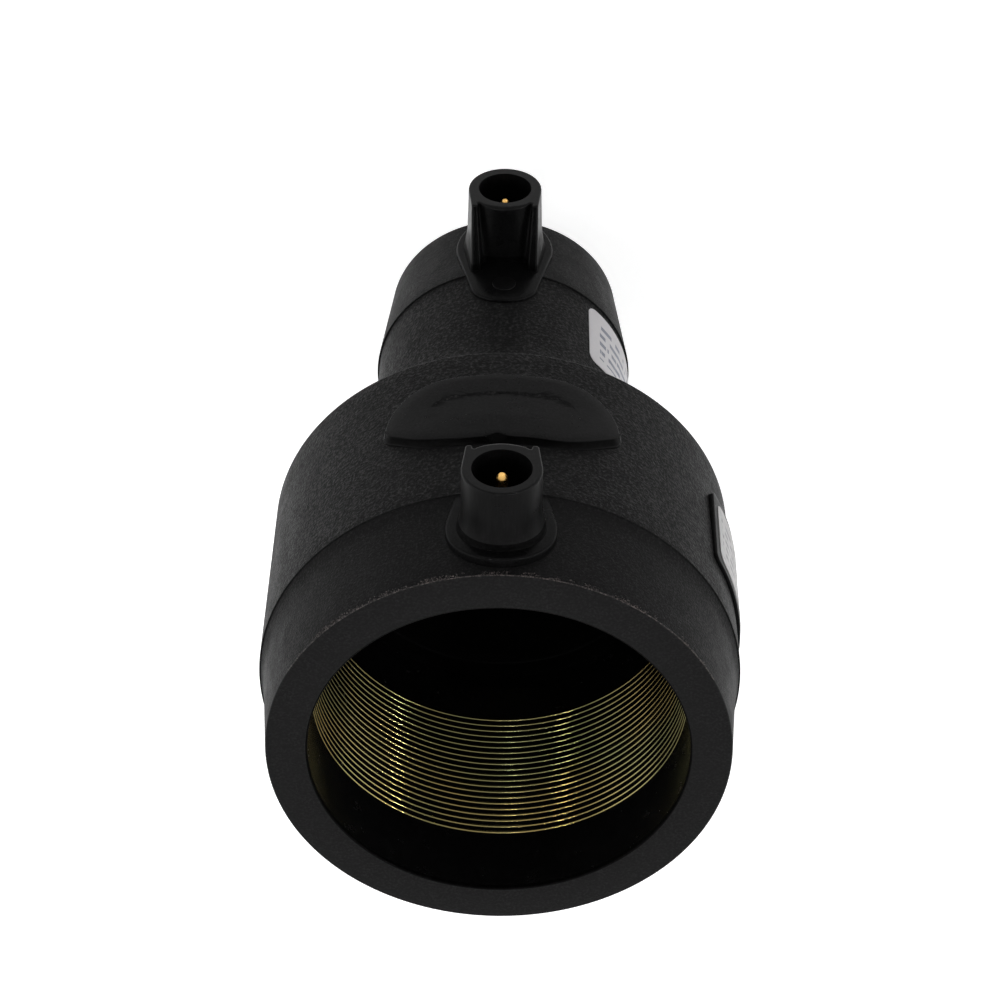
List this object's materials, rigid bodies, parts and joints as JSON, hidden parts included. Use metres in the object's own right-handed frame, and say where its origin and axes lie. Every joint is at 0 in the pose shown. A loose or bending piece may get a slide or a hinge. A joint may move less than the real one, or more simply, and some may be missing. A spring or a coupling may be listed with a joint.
{
  "type": "electrofusion reducer",
  "caption": "Black polyethylene reducing coupler with a wide and a narrow pipe socket, heating wire wound in both bores and a shrouded terminal pin at each end.",
  "frame": {"origin": "centre of the small socket's flat end face, on the pipe axis", "axes": "+Z along the pipe axis to the mouth of the large socket; both terminals point to -Y; +X completes the right-handed frame"},
  "size_m": [0.0828, 0.0931, 0.126],
  "materials": {
    "polyethylene": "fine moulded grain, satin",
    "resistance_wire": "bright drawn wire with a heat tint",
    "pin_metal": "bright turned",
    "label_film": "satin film"
  },
  "bodies": {
    "root": {"body": "polyethylene", "heating_wire": "resistance_wire", "terminal_pin_large": "pin_metal", "terminal_pin_small": "pin_metal", "label_large": "label_film", "label_small": "label_film"}
  },
  "joints": []
}
